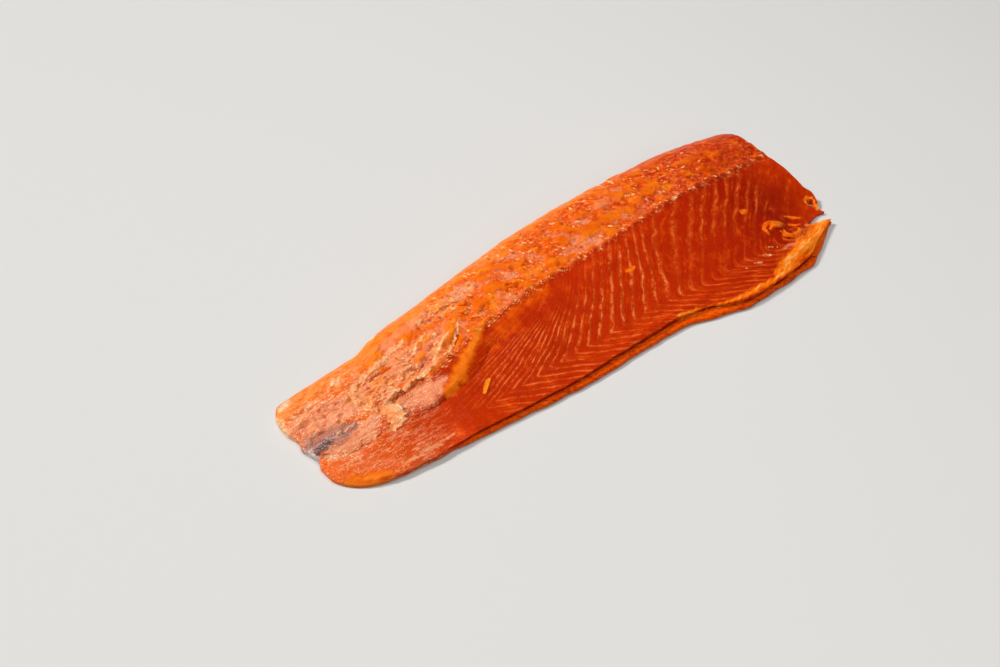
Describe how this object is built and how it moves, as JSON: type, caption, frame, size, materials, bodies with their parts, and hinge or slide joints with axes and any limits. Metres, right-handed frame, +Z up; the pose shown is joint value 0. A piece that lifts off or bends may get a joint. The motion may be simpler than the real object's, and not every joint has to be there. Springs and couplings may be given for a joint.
{
  "type": "side of smoked salmon",
  "caption": "Trimmed side of cold-smoked salmon lying flesh side up, with its pin-bone seam, layered belly edge and torn tail end.",
  "frame": {"origin": "centre of the bounding box at the flat underside that lies on the surface", "axes": "+X along the side from the tail to the head end, +Y across it from the belly edge to the back, +Z up out of the flesh"},
  "size_m": [0.519, 0.19, 0.0303],
  "materials": {
    "salmon_flesh": "cured orange-red fish flesh with pale fat lines, amber fat and an oily sheen"
  },
  "bodies": {
    "root": {"smoked_salmon_side": "salmon_flesh"}
  },
  "joints": []
}
